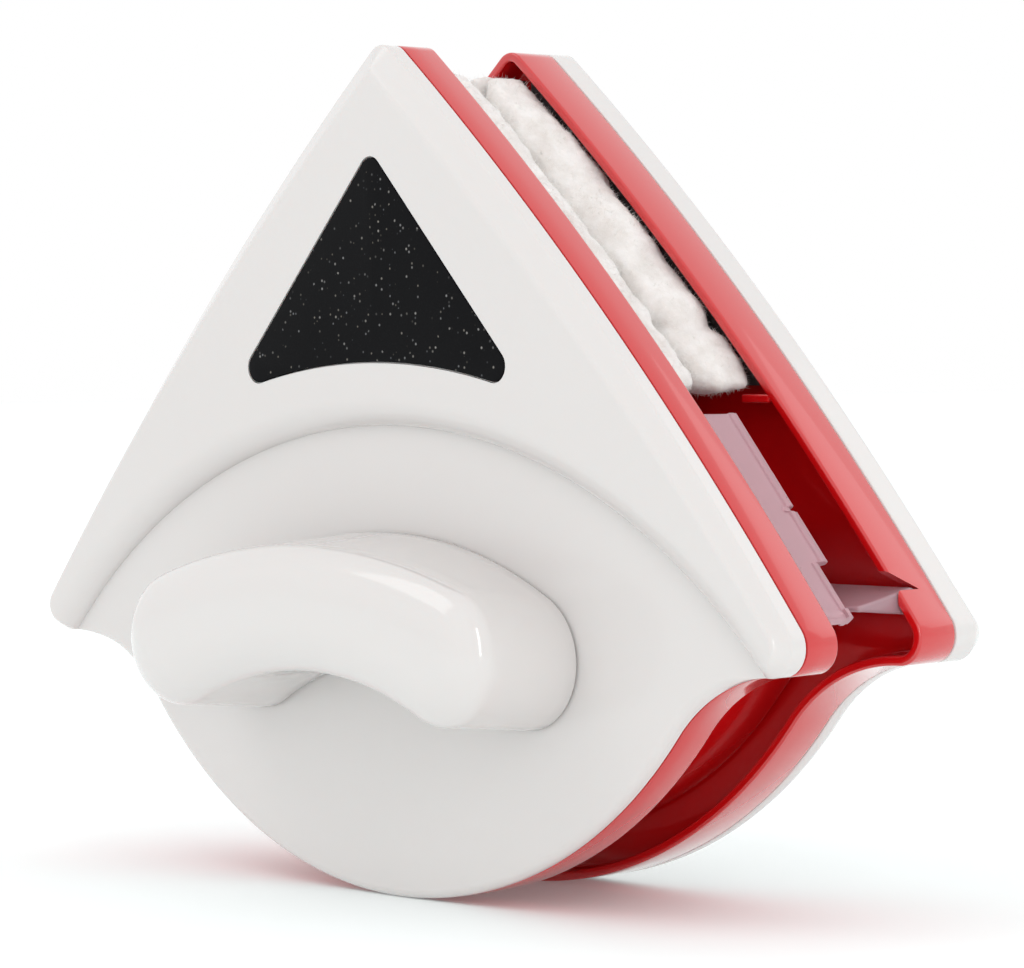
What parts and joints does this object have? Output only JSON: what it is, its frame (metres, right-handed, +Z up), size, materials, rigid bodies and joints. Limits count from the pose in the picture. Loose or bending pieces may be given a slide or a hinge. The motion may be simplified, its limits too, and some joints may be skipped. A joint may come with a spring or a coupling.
{
  "type": "magnetic window wiper",
  "caption": "Two-sided magnetic glass cleaner: two kite-shaped halves with bean grips, cotton pads and silicone wiper blades, held together by magnets.",
  "frame": {"origin": "on the ground plane, midway between the two halves and midway between their corners", "axes": "+X along the wide base of the triangle, +Y square to the glass from the near half to the far half, +Z up to the apex"},
  "size_m": [0.1776, 0.0842, 0.139],
  "materials": {
    "white_plastic": "glossy white moulded plastic",
    "black_panel": "black panel with fine glitter",
    "red_plastic": "glossy red moulded plastic",
    "silicone": "frosted translucent silicone over red",
    "cotton": "fluffy off-white cotton plush",
    "hook_tape": "woven hook tape",
    "steel": "plain steel",
    "nickel": "nickel-plated magnet"
  },
  "bodies": {
    "near_half": {"near_cover_shell": "white_plastic", "near_front_inlay": "black_panel", "near_grip": "white_plastic", "near_base_frame": "red_plastic", "near_magnet_housing": "red_plastic", "near_centre_deck": "red_plastic", "near_lower_magnet_left": "nickel", "near_lower_magnet_right": "nickel", "near_lower_yoke": "steel", "near_centre_magnet": "nickel", "near_centre_yoke": "steel", "near_bottom_blade_rod": "steel", "near_side_blade_rod": "steel", "near_pad_tape_left": "hook_tape", "near_cotton_pad_left": "cotton", "near_pad_tape_right": "hook_tape", "near_cotton_pad_right": "cotton", "near_frame_screw_top": "steel", "near_frame_screw_left": "steel", "near_frame_screw_right": "steel", "near_grip_screw_left": "steel", "near_grip_screw_right": "steel"},
    "near_bottom_blade": {"near_bottom_blade": "silicone"},
    "near_side_blade": {"near_side_blade": "silicone"},
    "far_half": {"far_cover_shell": "white_plastic", "far_front_inlay": "black_panel", "far_grip": "white_plastic", "far_base_frame": "red_plastic", "far_magnet_housing": "red_plastic", "far_centre_deck": "red_plastic", "far_lower_magnet_left": "nickel", "far_lower_magnet_right": "nickel", "far_lower_yoke": "steel", "far_centre_magnet": "nickel", "far_centre_yoke": "steel", "far_bottom_blade_rod": "steel", "far_side_blade_rod": "steel", "far_pad_tape_left": "hook_tape", "far_cotton_pad_left": "cotton", "far_pad_tape_right": "hook_tape", "far_cotton_pad_right": "cotton", "far_frame_screw_top": "steel", "far_frame_screw_left": "steel", "far_frame_screw_right": "steel", "far_grip_screw_left": "steel", "far_grip_screw_right": "steel"},
    "far_bottom_blade": {"far_bottom_blade": "silicone"},
    "far_side_blade": {"far_side_blade": "silicone"}
  },
  "joints": [
    {"name": "pull_apart", "type": "slide", "parent": "near_half", "child": "far_half", "axis": [0, 1, 0], "range_m": [0, 0.06], "stiffness_N_per_m": 50, "springref_m": -0.2},
    {"name": "near_bottom_blade_flex", "type": "hinge", "parent": "near_half", "child": "near_bottom_blade", "pos_m": [-0.00655, -0.0126, 0.0501], "axis": [1, 0, 0], "range_deg": [-20, 20], "stiffness_Nm_per_rad": 0.06},
    {"name": "near_side_blade_flex", "type": "hinge", "parent": "near_half", "child": "near_side_blade", "pos_m": [0.07052, -0.0128, 0.0633], "axis": [-0.6393, 0, 0.769], "range_deg": [-15, 15], "stiffness_Nm_per_rad": 0.03},
    {"name": "far_bottom_blade_flex", "type": "hinge", "parent": "far_half", "child": "far_bottom_blade", "pos_m": [0.00655, 0.0126, 0.0501], "axis": [-1, 0, 0], "range_deg": [-20, 20], "stiffness_Nm_per_rad": 0.06},
    {"name": "far_side_blade_flex", "type": "hinge", "parent": "far_half", "child": "far_side_blade", "pos_m": [-0.07052, 0.0128, 0.0633], "axis": [0.6393, 0, 0.769], "range_deg": [-15, 15], "stiffness_Nm_per_rad": 0.03}
  ]
}
